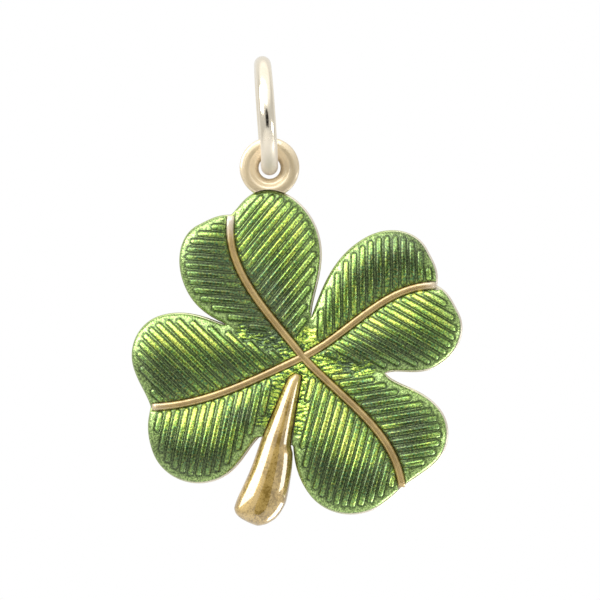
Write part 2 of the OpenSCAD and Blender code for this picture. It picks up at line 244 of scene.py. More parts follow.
def local(h, p):
    q = turned(p, -leafOf(h)[0])
    return np.stack((q[..., 0], sideOf(h) * q[..., 1]), -1)


def notch(h):
    return np.array((clover["reach"] * leafOf(h)[1], 0.0))


def vein(h, share=1.0):
    n, s = notch(h), sideOf(h)
    pull = clover["veinPull"] * n[0]
    return bezier([(0, 0), pull * heading(s * leafOf(h)[2]), n - pull * heading(s * leafOf(h)[3]), n],
                  clover["veinSteps"], 0, share)


stemStart = stem["top"] * heading(stem["topTurn"])
stemWay = heading(stem["heading"])
stemAcross = heading(stem["heading"] + 90)
stemTable = np.array(stem["sections"], float)
# Share of its length where it leaves the leaves
stemFree = (clover["reach"] * clover["clefts"][clover["stemCleft"]][1] - stem["top"]) / stem["length"]


def stemHalfWidth(side, share):
    return stem["width"] * np.interp(share, stemTable[:, 0], stemTable[:, 2 if side > 0 else 1])


def stemPoint(side, share, out):
    width = stemHalfWidth(side, share) + out
    return stemStart + share * stem["length"] * stemWay + side * width * stemAcross


def cleft(h):
    c = cleftOf(h)
    if c == clover["stemCleft"]:
        return local(h, stemPoint(-sideOf(h), stemFree, stem["side"]))
    direction, depth = clover["clefts"][c]
    return local(h, clover["reach"] * depth * heading(direction))


def outline(h):
    wide, fore, cleftTurn, notchTurn = clover["halves"][h][:4]
    c, n = cleft(h), notch(h)
    w, f = clover["reach"] * np.array(wide), clover["reach"] * np.array(fore)
    reach = np.linalg.norm(w - c)
    start, toWide, fromWide, toFore, fromFore, end = clover["handles"]
    steps = clover["outlineSteps"]
    return np.concatenate((
        bezier([c, c + start * reach * heading(cleftTurn), w - (toWide * reach, 0), w], steps),
        bezier([w, (w[0] + fromWide * (f[0] - w[0]), w[1]), (f[0], f[1] + toFore * (w[1] - f[1])), f],
               steps, 1),
        bezier([f, (f[0], fromFore * f[1]), n + end * f[1] * heading(notchTurn), n], steps // 2, 1)))


fieldInset = clover["veinWidth"] / 2 + clover["fieldGap"]


def crotch(c):
    a = clover["leaves"][c][0] + clover["leaves"][c][2]
    following = clover["leaves"][(c + 1) % 4]
    b = following[0] + following[2] + (360 if c == 3 else 0)
    return fieldInset / math.sin(math.radians((b - a) / 2)) * heading((a + b) / 2)


def tip(h):
    out = clover["halves"][h][3]
    opening = math.radians(out - sideOf(h) * leafOf(h)[3])
    rim = clover["rim"]
    return (notch(h) + (fieldInset - rim * math.cos(opening)) / math.sin(opening) * heading(out)
            + rim * heading(out + 90))


def veinBorder(h):
    path = vein(h) + fieldInset * pathNormals(vein(h))
    start, end = local(h, crotch(cleftOf(h))), tip(h)
    gap = clover["borderGap"]
    keep = [p for p in path if np.linalg.norm(p) > np.linalg.norm(start) + gap
            and np.linalg.norm(p - notch(h)) > np.linalg.norm(end - notch(h)) + gap]
    return np.array([start] + keep + [end])


def innerBorder(h):
    start = local(h, crotch(cleftOf(h)))
    if cleftOf(h) != clover["stemCleft"]:
        c = cleft(h)
        return np.array([start, c - clover["rim"] * c / np.linalg.norm(c)])
    side, gap = -sideOf(h), clover["fieldGap"]
    above = stemStart - gap * stemWay
    corner = above + side * (stemHalfWidth(side, 0) + gap) * stemAcross
    shares = [*stem["borderAt"], stemFree - clover["rim"] / stem["length"]]
    beside = [stemPoint(side, share, gap) for share in shares]
    return np.concatenate(([start], local(h, np.array([above, corner] + beside))))


def rimLean(outward):
    return outward @ heading(clover["rimLean"][1])


def outerBorder(h):
    outward = pathNormals(outline(h))
    rim = clover["rim"] * (1 + clover["rimLean"][0] * rimLean(placed(h, outward)))
    path = outline(h) - rim[:, None] * outward
    start, end = innerBorder(h)[-1], tip(h)
    keep = [p for p in path if np.linalg.norm(p - cleft(h)) > clover["cleftGap"] * clover["rim"]
            and np.linalg.norm(p - notch(h)) > np.linalg.norm(end - notch(h)) + clover["outerGap"]]
    return np.array([start] + keep + [end])


def fieldHalves(c):
    return 2 * c, 2 * ((c + 1) % 4) + 1


def fieldOutline(c, step):
    left, right = fieldHalves(c)
    one = np.concatenate((placed(left, veinBorder(left)), placed(left, outerBorder(left))[::-1][1:]))
    two = np.concatenate((placed(right, outerBorder(right)), placed(right, veinBorder(right))[::-1][1:]))
    if c == clover["stemCleft"]:
        one = np.concatenate((one, placed(left, innerBorder(left))[::-1][1:-1]))
        two = np.concatenate((placed(right, innerBorder(right))[2:], two[1:]))
    else:
        two = two[1:]
    loop = resampled(np.concatenate((one, two)), step)[:-1]
    area = np.sum(loop[:, 0] * np.roll(loop[:, 1], -1) - loop[:, 1] * np.roll(loop[:, 0], -1))
    return loop if area > 0 else loop[::-1]


def cloverOutline():
    parts = []
    for leaf in range(4):
        parts.append(placed(2 * leaf + 1, outline(2 * leaf + 1))[:-1])
        parts.append(placed(2 * leaf, outline(2 * leaf))[::-1])
    return np.concatenate(parts)


# The dome over the half leaves
def domeAt(c, points):
    left, right = fieldHalves(c)
    direction, depth = clover["clefts"][c]
    if c == clover["stemCleft"]:
        way = stemStart + stemFree * stem["length"] * stemWay
        direction = math.degrees(math.atan2(way[1], way[0]))
    across = heading(direction + 90)
    onLeft = points @ across < 0
    valleyWidth, valleyShare = clover["valley"]
    rise = np.zeros(len(points))
    for h, mine in ((left, onLeft), (right, ~onLeft)):
        q = local(h, points[mine])
        fromVein = distanceTo(q, veinBorder(h))
        outside = distanceTo(q, np.concatenate((innerBorder(h), outerBorder(h)[1:])))
        width = np.maximum(fromVein + outside, tiny)
        share = fromVein / width
        rise[mine] = (clover["domeRise"] * np.minimum(1, width / clover["fullWidth"]) ** clover["domeGrowth"]
                      * (1 - np.abs(2 * share - 1) ** clover["domeSection"]))
        inland = np.clip(distanceTo(q, innerBorder(h)) / valleyWidth, 0, 1)
        rise[mine] *= valleyShare + (1 - valleyShare) * inland * inland * (3 - 2 * inland)
    return rise, onLeft


eyeMid = eye["thickness"] / 2 + eye["setIn"]
eyeCentre = (clover["reach"] * eye["seatShare"] + eye["diameter"] / 2 - eye["sink"]) * heading(eye["turn"])
holeDrop = (eye["hole"] - ring["wire"]) / 2 - eye["hangGap"]
wireSeat = Vector(swingJoint["pos_m"]) / mm
cloverPlace = Vector((wireSeat.x - eyeCentre[0], eyeMid, wireSeat.z - eyeCentre[1] - holeDrop))
# Stands a thing drawn on its back, in millimetres, up under the ring, in metres
standUp = Matrix.Scale(mm, 4) @ Matrix.Translation(cloverPlace) @ Matrix.Rotation(math.pi / 2, 4, "X")


# Making meshes
def triangulated(loop, inner):
    n = len(loop)
    points = [Vector(p) for p in loop] + [Vector(p) for p in inner]
    out = delaunay_2d_cdt(points, [(i, (i + 1) % n) for i in range(n)], [], 0, weldDistance, True)
    verts = np.array([tuple(v) for v in out[0]])
    faces = np.array([tuple(f) for f in out[2]])
    faces = faces[insidePolygon(verts[faces].mean(1), loop)]
    # A flat sliver along a straight bit of the loop has an edge that neither another face
    # nor the loop shares. Without it, the next one may show
    sliver = np.array([True])
    while sliver.any():
        a, b = np.moveaxis(np.sort(faces[:, [(0, 1), (1, 2), (2, 0)]], 2), 2, 0)
        _, which, count = np.unique(a * len(verts) + b, return_inverse=True, return_counts=True)
        alone = count[which].reshape(a.shape) == 1
        onLoop = (b < n) & ((b - a == 1) | (b - a == n - 1))
        sliver = (alone & ~onLoop).any(1)
        faces = faces[~sliver]
    return verts, faces


def linked(name, data):
    obj = bpy.data.objects.new(name, data)
    bpy.context.scene.collection.objects.link(obj)
    return obj


def meshObject(name, verts, faces, matrix=standUp):
    mesh = bpy.data.meshes.new(name)
    mesh.from_pydata([tuple(v) for v in verts], [], [tuple(int(i) for i in f) for f in faces])
    bm = bmesh.new()
    bm.from_mesh(mesh)
    bmesh.ops.recalc_face_normals(bm, faces=bm.faces)
    bm.to_mesh(mesh)
    bm.free()
    mesh.transform(matrix)
    mesh.polygons.foreach_set("use_smooth", [True] * len(mesh.polygons))
    return linked(name, mesh)


def evaluatedMesh(obj):
    bpy.context.view_layer.update()
    return bpy.data.meshes.new_from_object(obj.evaluated_get(bpy.context.evaluated_depsgraph_get()))


def setFloat(mesh, name, values):
    attribute = mesh.attributes.new(name, "FLOAT", "POINT")
    attribute.data.foreach_set("value", np.asarray(values, np.float32))


def setVector(mesh, name, values):
    attribute = mesh.attributes.new(name, "FLOAT_VECTOR", "POINT")
    attribute.data.foreach_set("vector", np.asarray(values, np.float32).ravel())


def quads(rows, columns, ringed=False):
    faces = []
    for k in range(rows if ringed else rows - 1):
        here, there = k * columns, (k + 1) % rows * columns
        for i in range(columns):
            j = (i + 1) % columns
            faces.append((here + i, here + j, there + j, there + i))
    return faces


def loft(rings):
    n = len(rings[0])
    faces = quads(len(rings), n)
    faces.append(tuple(range(n)))
    faces.append(tuple((len(rings) - 1) * n + i for i in range(n)))
    return np.concatenate(rings), faces


# Materials
def newMaterial(name):
    material = bpy.data.materials.new(name)
    material.use_nodes = True
    tree = material.node_tree
    tree.nodes.clear()
    out = tree.nodes.new("ShaderNodeOutputMaterial")
    shader = tree.nodes.new("ShaderNodeBsdfPrincipled")
    tree.links.new(shader.outputs[0], out.inputs[0])
    return material, tree, shader


def feed(tree, socket, value):
    if isinstance(value, bpy.types.NodeSocket):
        tree.links.new(value, socket)
    else:
        socket.default_value = value


def ramp(tree, source, stops, colours):
    made = tree.nodes.new("ShaderNodeValToRGB")
    elements = made.color_ramp.elements
    while len(elements) < len(stops):
        elements.new(0.5)
    for element, position, colour in zip(elements, stops, colours):
        element.position = position
        element.color = (*colour, 1)
    tree.links.new(source, made.inputs[0])
    return made.outputs[0]


def placedNoise(tree, place, scale, detail):
    mapping = tree.nodes.new("ShaderNodeMapping")
    mapping.inputs["Scale"].default_value = scale
    noise = tree.nodes.new("ShaderNodeTexNoise")
    noise.inputs["Scale"].default_value = 1
    noise.inputs["Detail"].default_value = detail
    tree.links.new(place, mapping.inputs[0])
    tree.links.new(mapping.outputs[0], noise.inputs["Vector"])
    return noise.outputs["Fac"]


def objectNoise(tree, scale, detail):
    place = tree.nodes.new("ShaderNodeTexCoord").outputs["Object"]
    return placedNoise(tree, place, (scale, scale, scale), detail)


def mixed(tree, factor, a, b):
    made = tree.nodes.new("ShaderNodeMix")
    made.data_type = "RGBA"
    sockets = [s for s in made.inputs if s.enabled]
    for socket, value in zip(sockets, (factor, a, b)):
        feed(tree, socket, (*value, 1) if isinstance(value, tuple) else value)
    return next(o for o in made.outputs if o.enabled)


def ranged(tree, source, fromLow, fromHigh, toLow=0.0, toHigh=1.0):
    made = tree.nodes.new("ShaderNodeMapRange")
    made.interpolation_type = "SMOOTHSTEP"
    names = ("Value", "From Min", "From Max", "To Min", "To Max")
    for name, value in zip(names, (source, fromLow, fromHigh, toLow, toHigh)):
        feed(tree, made.inputs[name], value)
    return made.outputs[0]


def maths(tree, operation, a, b=0.0):
    made = tree.nodes.new("ShaderNodeMath")
    made.operation = operation
    for socket, value in zip(made.inputs, (a, b)):
        feed(tree, socket, value)
    return made.outputs[0]


def times(tree, a, b):
    return maths(tree, "MULTIPLY", a, b)


def summed(tree, a, aShare, b, bShare):
    return maths(tree, "ADD", times(tree, a, aShare), times(tree, b, bShare))


def bumped(tree, shader, height, distance):
    bump = tree.nodes.new("ShaderNodeBump")
    bump.inputs["Distance"].default_value = distance
    tree.links.new(height, bump.inputs["Height"])
    tree.links.new(bump.outputs[0], shader.inputs["Normal"])


def attributeOf(tree, name, output="Fac"):
    made = tree.nodes.new("ShaderNodeAttribute")
    made.attribute_name = name
    return made.outputs[output]


goldLook = {
    # bright and dull colour, polish, roughness, lacquer, depth of its waves and of its grain in millimetres
    "ring": ((0.95, 0.87, 0.71), (0.93, 0.84, 0.67), 1, 0.16, 0, 0.0002, 0.0001),
    "eye": ((0.74, 0.61, 0.39), (0.70, 0.57, 0.36), 0.6, 0.38, 0.9, 0.0005, 0.0002),
    "stem": ((0.54, 0.37, 0.11), (0.27, 0.17, 0.03), 0.4, 0.28, 1, 0.03, 0.002),
    "vein": ((0.5, 0.34, 0.095), (0.375, 0.24, 0.055), 0.6, 0.3, 0.7, 0.004, 0.002),
    "leaf": ((0.82, 0.75, 0.62), (0.79, 0.72, 0.59), 0.9, 0.32, 0, 0.004, 0.002),
    "lacquer": (2.2, 0.05),  # its refraction and roughness
    # colour of the ring's wear and of the pale vein tips, and of the painted highlight along the veins'
    # crests
    "worn": (0.74, 0.67, 0.57),
    "wornRoughness": 0.4,
    "wornPolish": 0.4,
    "film": (0.34, 0.42, 0.15),
    "cloud": (1100, 2),  # waves in a metre, and detail
    "grain": (9000, 4),
    "mottle": (0.43, 0.57),  # readings between which the bright colour turns dull
    "roughGrain": (0.3, 0.7),  # readings of the grain, and factors of the roughness there
    "roughSpread": (0.9, 1.2),
}


def goldMaterial(name, look):
    bright, dull, polish, roughness, lacquer, waves, grains = goldLook[look]
    material, tree, shader = newMaterial(name)
    cloud = objectNoise(tree, *goldLook["cloud"])
    grain = objectNoise(tree, *goldLook["grain"])
    worn = attributeOf(tree, "worn")
    mottled = summed(tree, cloud, 0.5, grain, 0.5)
    colour = mixed(tree, ranged(tree, mottled, *goldLook["mottle"]), bright, dull)
    # wear and pale tips, and the painted highlight on the veins' crests, turn the colour grey
    colour = mixed(tree, worn, colour, goldLook["worn"])
    colour = mixed(tree, attributeOf(tree, "film"), colour, goldLook["film"])
    tree.links.new(colour, shader.inputs["Base Color"])
    tree.links.new(ranged(tree, worn, 0, 1, polish, goldLook["wornPolish"]), shader.inputs["Metallic"])
    refraction, gloss = goldLook["lacquer"]
    shader.inputs["Coat Weight"].default_value = lacquer
    shader.inputs["Coat IOR"].default_value = refraction
    shader.inputs["Coat Roughness"].default_value = gloss
    rough = ranged(tree, grain, *goldLook["roughGrain"], *(roughness * f for f in goldLook["roughSpread"]))
    rough = maths(tree, "ADD", rough, times(tree, worn, goldLook["wornRoughness"]))
    tree.links.new(rough, shader.inputs["Roughness"])
    bumped(tree, shader, summed(tree, cloud, waves, grain, grains), mm)
    return material


enamelLook = {
    "land": (0.105, 0.168, 0.04),  # between the ribs
    "deep": (0.05, 0.105, 0.03),
    "leaf": (0.145, 0.275, 0.045),
    "lime": (0.38, 0.6, 0.07),
    "yellow": (0.72, 0.82, 0.13),
    "teal": (0.03, 0.22, 0.13),
    "gold": (0.46, 0.36, 0.07),
    "pale": (0.33, 0.46, 0.15),  # of the outer border
    "tip": (0.34, 0.56, 0.15),  # of a rib
    "pool": (0.06, 0.075, 0.04),  # painted shade: colour of the dark spots
    # painted shade in the grooves, partly also the deeper enamel lying there
    "groove": (0.01, 0.022, 0.007),
    "fleckShare": 0.4,
    "tipShare": 0.5,
    "paintedShadeShare": 0.5,
    "grooveShare": 0.9,
    "shift": 0.095,  # how much yellower the painted highlights and how much deeper the painted shade make the tone
    "glitter": (0.55, 1.55),  # darkest and brightest speck, as factors
    "metallic": 0.75,
    "roughness": 0.27,
    "coat": 0.4,
    "coatRoughness": 0.08,
    "grain": 0.008,
    # noises: waves in a millimetre across the ribs, along them and from half to half, and detail
    "streak": ((2.2, 0.7, 1), 2),
    "fleck": ((15, 9, 15), 2),
    "spot": ((9, 9, 9), 1),
    "grit": ((8, 12, 8), 2),
    "speck": ((13, 10, 13), 1),
    "streakShare": 0.6,  # the rest of a crown's tone is fleck
    "gritShare": 0.5,
    # readings where the colours of a ramp stand
    "crownAt": (0.38, 0.47, 0.54, 0.63),
    "spotAt": (0.34, 0.5, 0.66),
    "groundAt": (0.68, 0.78, 0.9),
    # readings between which one look turns into the next
    "borderAt": (0.32, 0.5),
    "speckAt": (0.36, 0.64),
    "grooveAt": (0.1, 0.8),
    "tipAt": (0.4, 1.0),  # from the outer border
    "inlandAt": (0.3, 0.6),
}


def enamelMaterial():
    look = enamelLook
    material, tree, shader = newMaterial("greenEnamel")
    place = attributeOf(tree, "ribPlace", "Vector")
    streak, fleck, spot, grit, speck = (placedNoise(tree, place, *look[name])
                                        for name in ("streak", "fleck", "spot", "grit", "speck"))
    crown, groove, ground, ripple = (attributeOf(tree, name)
                                     for name in ("crown", "groove", "ground", "ripple"))
    shore, pool, flash = (attributeOf(tree, name) for name in ("shore", "pool", "flash"))
    # painted light: the tone turns yellower in the painted highlights and deeper in the painted shade
    paintedLight = times(tree, maths(tree, "SUBTRACT", flash, pool), look["shift"])
    tone = summed(tree, streak, look["streakShare"], fleck, 1 - look["streakShare"])
    tone = maths(tree, "ADD", tone, paintedLight)
    tones = ramp(tree, tone, look["crownAt"], [look[name] for name in ("deep", "leaf", "lime", "yellow")])
    spots = ramp(tree, spot, look["spotAt"], [look[name] for name in ("gold", "leaf", "teal")])
    ribs = mixed(tree, look["fleckShare"], tones, spots)
    ribs = mixed(tree, ranged(tree, shore, *look["tipAt"], look["tipShare"], 0), ribs, look["tip"])
    ribs = mixed(tree, crown, look["land"], ribs)
    waves = maths(tree, "ADD", ripple, times(tree, grit, look["gritShare"]))
    low = ramp(tree, maths(tree, "ADD", waves, paintedLight), look["groundAt"],
               [look[name] for name in ("deep", "lime", "yellow")])
    border = mixed(tree, ranged(tree, fleck, *look["borderAt"]), look["leaf"], look["pale"])
    inland = ranged(tree, shore, *look["inlandAt"])
    base = mixed(tree, times(tree, ground, inland), ribs, low)
    outland = times(tree, ground, maths(tree, "SUBTRACT", 1.0, inland))
    base = mixed(tree, outland, base, border)
    # painted shade darkens the grooves, partly also the deeper enamel lying there
    cut = ranged(tree, groove, *look["grooveAt"], 0, look["grooveShare"])
    base = mixed(tree, cut, base, look["groove"])
    # painted shade: the enamel is darkened in the dark spots
    base = mixed(tree, times(tree, pool, look["paintedShadeShare"]), base, look["pool"])
    glitter = tree.nodes.new("ShaderNodeVectorMath")
    glitter.operation = "SCALE"
    tree.links.new(base, glitter.inputs[0])
    tree.links.new(ranged(tree, speck, *look["speckAt"], *look["glitter"]), glitter.inputs["Scale"])
    tree.links.new(glitter.outputs[0], shader.inputs["Base Color"])
    shader.inputs["Metallic"].default_value = look["metallic"]
    shader.inputs["Roughness"].default_value = look["roughness"]
    shader.inputs["Coat Weight"].default_value = look["coat"]
    shader.inputs["Coat Roughness"].default_value = look["coatRoughness"]
    bumped(tree, shader, fleck, look["grain"] * mm)
    return material


ringGold = goldMaterial("ringGold", "ring")
eyeGold = goldMaterial("eyeGold", "eye")
stemGold = goldMaterial("stemGold", "stem")
veinGold = goldMaterial("veinGold", "vein")
leafGold = goldMaterial("leafGold", "leaf")
greenEnamel = enamelMaterial()
print("stage: materials made")

# The enamel: flat sheets with their heights as an attribute, raised and ribbed by Geometry Nodes
enamel = {
    "thickness": 0.12,
    "fall": (0.05, 0.12, 0),  # how far its edge is rounded down, over what width, and the share at the gold
    "sameEdge": 0.001,  # two borders this close to each other count as one
    "ribWidth": 0.26,
    "ribHeight": 0.06,
    "ribShoulder": 0.075,
    "ribFoot": -0.25,  # where the shoulder begins inside a rib's side, in shoulders
    "grooveWidth": 0.04,
    "grooveDepth": 0.022,
    "grooveSoft": 1.3,  # in half widths
    "grooveFrom": (0.02, 0.1),  # distances from the edge between which the grooves begin
    "ribStart": 0.15,  # from the vein
    "ribFreeRadius": 1.2,
    "shortestRib": 0.2,
    "ribSearch": (-4, 11, 0.02),  # where along a line a rib is sought, and in what steps
    "stippleHeight": 0.13,
    "stippleSize": 0.17,
    "stippleDetail": 3,
    "stippleWay": (0.45, 1.4, 1),  # the ripples are longer across the pendant
    # distances between which the ripples begin: from a rib, from any border, from the outer one
    "stippleFrom": ((0.04, 0.16), (0, 0.08), (0.25, 0.7)),
    "grid": (0.022, 0.045),  # across and along the ribs
    "edgeStep": 0.05,
    "underStep": 0.25,
    "underMargin": 0.1,
    "underDrop": 0.02,  # clear of the seat's dome
    "noiseShift": 9.0,  # from half to half
    "seed": 7,
    # painted shade: dark spots that stand in for shade on the domes, given by place and radius
    "paintedShadeSpots": [
        (-4.7, 4.9, 1.2), (-3.8, 3.4, 1.2), (-2.4, 2.0, 0.9), (-2.4, 3.4, 0.8), (-1.2, 2.8, 0.9),
        (3.0, 3.7, 0.9), (4.4, 5.1, 1.1), (5.2, 5.2, 0.9), (3.3, 0.5, 0.9), (5.1, 0.3, 1.0),
        (-7.3, -0.5, 0.8), (-6.2, -1.1, 1.1), (-3.7, -0.4, 0.8), (-6.7, -4.4, 0.8), (-5.6, -5.1, 1.0),
        (-4.2, -4.8, 0.8), (-2.8, -2.8, 0.7), (0.8, -4.9, 0.8), (1.5, -6.1, 0.9), (3.3, -5.9, 0.8),
        (3.4, -2.1, 0.8), (5.3, -3.2, 0.9), (4.6, -4.2, 0.9), (-1.3, 1.0, 1.1), (2.1, -0.4, 0.5),
    ],
    # painted highlights: yellow spots that stand in for light on the domes, given by place and radius
    "paintedHighlightSpots": [
        (-7.2, 0.7, 0.9), (-5.9, 0.9, 0.9), (-4.6, 0.9, 0.8), (-3.6, 0.5, 0.6), (-6.8, -2.7, 0.7),
        (-5.4, -3.2, 0.7), (-4.2, -2.8, 0.7), (-3.0, -2.0, 0.6), (0.7, -1.8, 0.7), (1.3, -3.0, 0.8),
        (1.9, -4.2, 0.8), (3.9, -6.3, 0.6), (1.8, -1.1, 0.6), (3.2, 1.3, 0.7), (4.6, 2.0, 0.8),
        (5.8, 2.6, 0.8), (6.8, 1.8, 0.7), (2.2, 4.4, 0.6), (2.5, 5.4, 0.7), (2.0, 3.2, 0.6),
        (-6.3, 2.0, 0.9), (-0.8, 7.0, 0.5), (-0.2, 6.0, 0.8), (0.3, 4.6, 0.7), (-1.8, 6.8, 0.7),
        (-0.2, 3.2, 0.6), (-4.9, 6.0, 0.6), (0.4, 1.4, 0.6),
    ],
    # for each half: place of the first rib, pitch, and how far the ribs stop short of the edge
    "ribs": [
        (0.86, 0.394, 0.31),
        (0.79, 0.398, 0.34),
        (0.86, 0.385, 0.38),
        (0.25, 0.407, 0.29),
        (0.57, 0.394, 0.42),
        (0.5, 0.407, 0.36),
        (0.84, 0.39, 0.4),
        (0.39, 0.38, 0.42),
    ],
}


def ribWay(h):
    way = heading(clover["halves"][h][4])
    return way, np.array((way[1], -way[0]))


def ribLines(c):
    lines = []
    reach = np.arange(*enamel["ribSearch"])
    for h in fieldHalves(c):
        way, side = ribWay(h)
        first, pitch, end = enamel["ribs"][h]
        veinLine, edge = veinBorder(h), np.concatenate((innerBorder(h), outerBorder(h)[1:]))
        region = np.concatenate((veinLine, edge[::-1][1:]))
        for across in np.arange(first, (region @ side).max(), pitch):
            points = reach[:, None] * way + across * side
            fine = insidePolygon(points, region)
            fine &= distanceTo(points, veinLine) > enamel["ribStart"]
            fine &= distanceTo(points, edge) > end
            fine &= np.linalg.norm(points, axis=1) > enamel["ribFreeRadius"]
            if fine.sum() * enamel["ribSearch"][2] > enamel["shortestRib"]:
                at = np.flatnonzero(fine)
                lines.append((placed(h, points[at[0]]), placed(h, points[at[-1]])))
    return lines


def closed(loop):
    return np.concatenate((loop, loop[:1]))


def gridInside(loop, margin, axes, steps):
    spans = [np.arange((loop @ axis).min(), (loop @ axis).max(), step) for axis, step in zip(axes, steps)]
    u, v = np.meshgrid(*spans)
    points = u.reshape(-1, 1) * axes[0] + v.reshape(-1, 1) * axes[1]
    points = points[insidePolygon(points, loop)]
    return points[distanceTo(points, closed(loop)) > margin]


def fieldSheet(c):
    loop = fieldOutline(c, enamel["edgeStep"])
    halves = []
    for h, left in zip(fieldHalves(c), (True, False)):
        way, side = (placed(h, axis) for axis in ribWay(h))
        points = gridInside(loop, enamel["grid"][0], (side, way), enamel["grid"])
        halves.append(points[domeAt(c, points)[1] == left])
    top, topFaces = triangulated(loop, np.concatenate(halves))
    underSteps = (enamel["underStep"], enamel["underStep"])
    underPoints = gridInside(loop, enamel["underMargin"], np.eye(2), underSteps)
    under, underFaces = triangulated(loop, underPoints)
    n, m = len(loop), len(top)
    seat = clover["plate"] + clover["lip"] + clover["gap"]
    edge = distanceTo(top, closed(loop))
    shore = np.minimum(*(distanceTo(top, placed(h, outerBorder(h))) for h in fieldHalves(c)))
    fall, width, goldShare = enamel["fall"]
    rise, onLeft = domeAt(c, top)
    fall = np.where(shore > edge + enamel["sameEdge"], fall * goldShare, fall)
    lift = seat + enamel["thickness"] + rise - fall * np.clip(1 - edge / width, 0, 1) ** 2
    # masks of the painted shade spots and of the painted highlight spots
    paintedShadeSpots, paintedHighlightSpots = (np.minimum(sum(np.exp(-np.sum((top - (x, y)) ** 2, axis=1) / r**2)
                                     for x, y, r in enamel[name]), 1) for name in ("paintedShadeSpots", "paintedHighlightSpots"))
    walls = []
    for i in range(n):
        j = (i + 1) % n
        walls += [(i, m + i, m + j), (i, m + j, j)]
    verts = np.concatenate((top, under))
    faces = np.concatenate((topFaces, (underFaces + m)[:, ::-1], walls))
    mesh = bpy.data.meshes.new("flatField")
    mesh.from_pydata([(*p, 0) for p in verts], [], faces.tolist())
    place = np.zeros((len(verts), 3))
    for h, mine in zip(fieldHalves(c), (onLeft, ~onLeft)):
        way, side = ribWay(h)
        q = local(h, top[mine])
        shift = np.full(len(q), enamel["noiseShift"] * h)
        place[np.flatnonzero(mine)] = np.stack((q @ side, q @ way, shift), 1)
    setFloat(mesh, "lift", np.concatenate((lift, seat + domeAt(c, under)[0] - enamel["underDrop"])))
    for name, values in (("raised", np.ones(m)), ("edge", edge), ("shore", shore), ("pool", paintedShadeSpots),
                         ("flash", paintedHighlightSpots)):
        setFloat(mesh, name, np.concatenate((values, np.zeros(len(under)))))
    setVector(mesh, "ribPlace", place)
    return mesh


def ribbedTree():
    tree = bpy.data.node_groups.new("ribbedEnamel", "GeometryNodeTree")
    face = tree.interface
    face.new_socket("Geometry", in_out="INPUT", socket_type="NodeSocketGeometry")
    sizes = {}
    for name, kind in (("Rib Lines", "Object"), ("Rib Width", "Float"), ("Rib Height", "Float"),
                       ("Rib Shoulder", "Float"), ("Groove Width", "Float"), ("Groove Depth", "Float"),
                       ("Stipple Size", "Float"), ("Stipple Height", "Float"), ("Seed", "Float"),
                       ("Enamel", "Material")):
        sizes[name] = face.new_socket(name, in_out="INPUT", socket_type="NodeSocket" + kind).identifier
    face.new_socket("Geometry", in_out="OUTPUT", socket_type="NodeSocketGeometry")
    given = tree.nodes.new("NodeGroupInput")
    done = tree.nodes.new("NodeGroupOutput")
    link = tree.links.new

    def named(name):
        made = tree.nodes.new("GeometryNodeInputNamedAttribute")
        made.data_type = "FLOAT"
        made.inputs["Name"].default_value = name
        return made.outputs[0]

    lines = tree.nodes.new("GeometryNodeObjectInfo")
    link(given.outputs["Rib Lines"], lines.inputs["Object"])
    near = tree.nodes.new("GeometryNodeProximity")
    near.target_element = "EDGES"
    link(lines.outputs["Geometry"], near.inputs[0])
    out = maths(tree, "SUBTRACT", near.outputs["Distance"], times(tree, given.outputs["Rib Width"], 0.5))
    shoulder = given.outputs["Rib Shoulder"]
    foot = times(tree, shoulder, enamel["ribFoot"])
    crown = ranged(tree, times(tree, out, -1), foot, shoulder)
    half = times(tree, given.outputs["Groove Width"], 0.5)
    off = maths(tree, "ABSOLUTE", maths(tree, "SUBTRACT", out, half))
    soft = times(tree, half, enamel["grooveSoft"])
    groove = maths(tree, "SUBTRACT", 1.0, ranged(tree, off, 0, soft))
    groove = times(tree, groove, ranged(tree, named("edge"), *enamel["grooveFrom"]))
    noise = tree.nodes.new("ShaderNodeTexNoise")
    noise.noise_dimensions = "4D"
    noise.inputs["Detail"].default_value = enamel["stippleDetail"]
    link(maths(tree, "DIVIDE", 1.0, given.outputs["Stipple Size"]), noise.inputs["Scale"])
    link(given.outputs["Seed"], noise.inputs["W"])
    flatPlace = tree.nodes.new("GeometryNodeInputPosition")
    ripple = tree.nodes.new("ShaderNodeVectorMath")
    ripple.operation = "MULTIPLY"
    ripple.inputs[1].default_value = enamel["stippleWay"]
    link(flatPlace.outputs[0], ripple.inputs[0])
    link(ripple.outputs[0], noise.inputs["Vector"])
    fromRib, fromEdge, fromShore = enamel["stippleFrom"]
    ground = ranged(tree, out, *fromRib)
    inner = times(tree, ranged(tree, named("edge"), *fromEdge), ranged(tree, named("shore"), *fromShore))
    stipple = maths(tree, "SUBTRACT", noise.outputs[0], 0.5)
    for factor in (given.outputs["Stipple Height"], ground, inner, 2.0):
        stipple = times(tree, stipple, factor)
    height = times(tree, crown, given.outputs["Rib Height"])
    height = maths(tree, "SUBTRACT", height, times(tree, groove, given.outputs["Groove Depth"]))
    height = times(tree, maths(tree, "ADD", height, stipple), named("raised"))
    height = maths(tree, "ADD", height, named("lift"))
    up = tree.nodes.new("ShaderNodeCombineXYZ")
    link(height, up.inputs[2])
    source = given.outputs["Geometry"]
    kept = {"crown": crown, "groove": groove, "ground": ground, "ripple": noise.outputs[0]}
    for name, value in kept.items():
        keep = tree.nodes.new("GeometryNodeStoreNamedAttribute")
        keep.data_type = "FLOAT"
        keep.domain = "POINT"
        keep.inputs["Name"].default_value = name
        link(source, keep.inputs["Geometry"])
        link(times(tree, value, named("raised")), keep.inputs["Value"])
        source = keep.outputs[0]
    move = tree.nodes.new("GeometryNodeSetPosition")
    link(source, move.inputs["Geometry"])
    link(up.outputs[0], move.inputs["Offset"])
    real = tree.nodes.new("GeometryNodeRealizeInstances")
    link(move.outputs[0], real.inputs[0])
    coat = tree.nodes.new("GeometryNodeSetMaterial")
    link(real.outputs[0], coat.inputs["Geometry"])
    link(given.outputs["Enamel"], coat.inputs["Material"])
    link(coat.outputs[0], done.inputs[0])
    return tree, sizes


